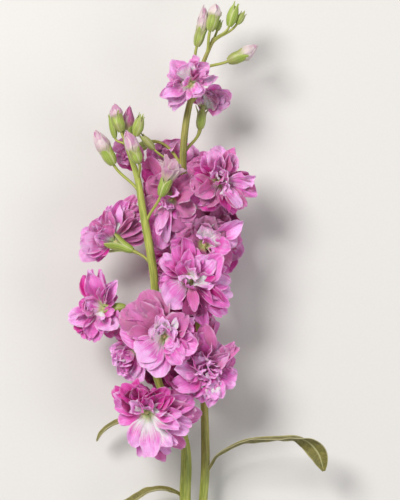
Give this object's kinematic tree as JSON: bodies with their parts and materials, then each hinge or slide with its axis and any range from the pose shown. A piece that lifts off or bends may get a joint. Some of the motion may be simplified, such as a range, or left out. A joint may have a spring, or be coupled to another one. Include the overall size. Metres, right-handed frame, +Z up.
{
  "type": "stock flower",
  "caption": "Cut spray of double-flowered stock lying down: a forked green stem with pink blooms, buds and narrow leaves.",
  "frame": {"origin": "middle of the footprint, on the surface that the stem lies on", "axes": "+Y along the stem from its cut end to its buds, +X to the right seen from above, +Z up from the surface"},
  "size_m": [0.1297, 0.3288, 0.0535],
  "materials": {
    "stem_green": "satin",
    "petal_pink": "matte",
    "bud_pale_pink": "matte",
    "leaf_olive": "matte"
  },
  "bodies": {
    "root": {"stem": "stem_green", "bloom_crown": "petal_pink", "bloom_crown_back": "petal_pink", "bloom_right_shoulder": "petal_pink", "bloom_heart_top": "petal_pink", "bloom_heart": "petal_pink", "bloom_left_far": "petal_pink", "bloom_left_low": "petal_pink", "bloom_mid": "petal_pink", "bloom_elbow": "petal_pink", "bloom_low_right": "petal_pink", "bloom_low_left": "petal_pink", "bloom_shoulder_left": "petal_pink", "bloom_small_left": "petal_pink", "bloom_back_top": "petal_pink", "bloom_back_right": "petal_pink", "bloom_back_mid": "petal_pink", "bloom_back_low": "petal_pink", "bud_left": "bud_pale_pink", "bud_pale": "bud_pale_pink", "bud_split": "bud_pale_pink", "bud_deep": "bud_pale_pink", "bud_opening": "bud_pale_pink", "bud_pink": "bud_pale_pink", "bud_tall": "bud_pale_pink", "bud_right": "bud_pale_pink", "leaf_right": "leaf_olive", "leaf_left": "leaf_olive", "leaf_low": "leaf_olive"}
  },
  "joints": []
}
